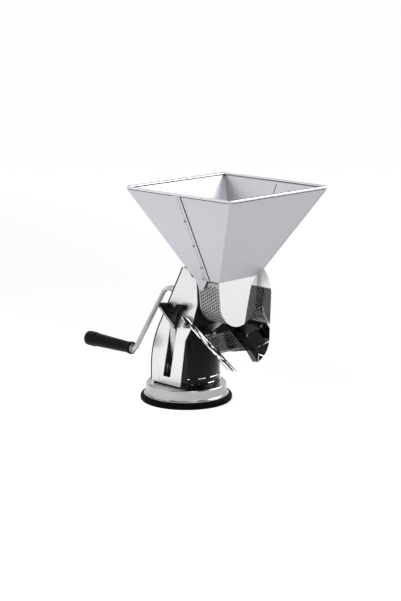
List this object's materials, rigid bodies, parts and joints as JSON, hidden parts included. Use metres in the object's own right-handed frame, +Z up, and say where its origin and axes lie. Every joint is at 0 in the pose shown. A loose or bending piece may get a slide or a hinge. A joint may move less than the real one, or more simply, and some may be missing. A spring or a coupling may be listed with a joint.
{
  "type": "tomato strainer with crank",
  "caption": "Hand-cranked strainer on a round suction foot: a square hopper feeds a paddle rotor over a perforated trough, with a sloping chute and a tall splash guard.",
  "frame": {"origin": "centre of the suction foot's underside, on the table", "axes": "+Z up, +Y towards the crank and its grip, -Y towards the hopper's front plate and the chute's lip, +X completes the right hand"},
  "size_m": [0.204, 0.3289, 0.3253],
  "materials": {
    "black_rubber": "matte",
    "polished_steel": "mirror polish",
    "satin_steel": "satin",
    "hopper_steel": "fine satin",
    "black_cast": "black paint",
    "black_moulding": "matte",
    "black_gloss": "gloss",
    "bush_brass": "machined"
  },
  "bodies": {
    "base": {"foot_ring": "black_rubber", "base_ring": "polished_steel", "base_deck": "black_cast", "left_panel": "polished_steel", "right_panel": "polished_steel", "back_cover": "polished_steel", "tower_frame": "black_moulding", "front_cover": "black_gloss", "tower_hood": "black_gloss", "perforated_screen": "satin_steel", "screen_flange": "satin_steel", "front_plate": "polished_steel", "front_bush": "bush_brass", "hood_bush": "bush_brass", "rear_bush": "bush_brass", "lever_bracket": "satin_steel", "lever_pin": "satin_steel", "hook_pins": "satin_steel", "panel_screws": "polished_steel", "bracket_screws": "satin_steel"},
    "rotor": {"rotor_shaft": "satin_steel", "lock_screw": "polished_steel", "rotor_hub": "satin_steel", "paddle_1": "satin_steel", "paddle_2": "satin_steel", "paddle_3": "satin_steel", "wiper_1": "black_rubber", "wiper_2": "black_rubber", "wiper_3": "black_rubber", "crank_arm": "satin_steel", "grip_nut": "satin_steel", "grip_washer": "satin_steel"},
    "grip_body": {"grip": "black_moulding", "grip_cap": "black_moulding"},
    "lever": {"lever_arm": "satin_steel", "lever_handle": "black_gloss", "lever_cams": "satin_steel"},
    "stud": {"pull_stud": "satin_steel", "stud_nut": "satin_steel", "lift_yoke": "satin_steel", "suction_diaphragm": "black_rubber"},
    "hopper": {"hopper_front": "hopper_steel", "hopper_rear": "hopper_steel", "hopper_collar": "hopper_steel", "rim_wire": "hopper_steel", "seam_rivets": "hopper_steel"},
    "chute": {"chute_tray": "polished_steel", "splash_guard": "polished_steel", "guard_rivets": "polished_steel"}
  },
  "joints": [
    {"name": "rotor_spin", "type": "hinge", "parent": "base", "child": "rotor", "pos_m": [0, 0, 0.1615], "axis": [0, 1, 0], "continuous": true},
    {"name": "grip_spin", "type": "hinge", "parent": "rotor", "child": "grip_body", "pos_m": [-0.06331, 0.05, 0.07899], "axis": [0, 1, 0], "continuous": true},
    {"name": "lever_swing", "type": "hinge", "parent": "base", "child": "lever", "pos_m": [-0.018, 0.00325, 0.048], "axis": [0, -1, 0], "range_deg": [0, 74]},
    {"name": "stud_lift", "type": "slide", "parent": "base", "child": "stud", "axis": [0, 0, 1], "range_m": [0, 0.0032]},
    {"name": "hopper_lift", "type": "slide", "parent": "base", "child": "hopper", "axis": [0, 0, 1], "range_m": [0, 0.06]},
    {"name": "chute_draw", "type": "slide", "parent": "base", "child": "chute", "axis": [0, -1, 0], "range_m": [0, 0.025]}
  ],
  "couplings": [
    {"joint": "stud_lift", "follows": "lever_swing", "m_per_rad": 0.00247}
  ]
}
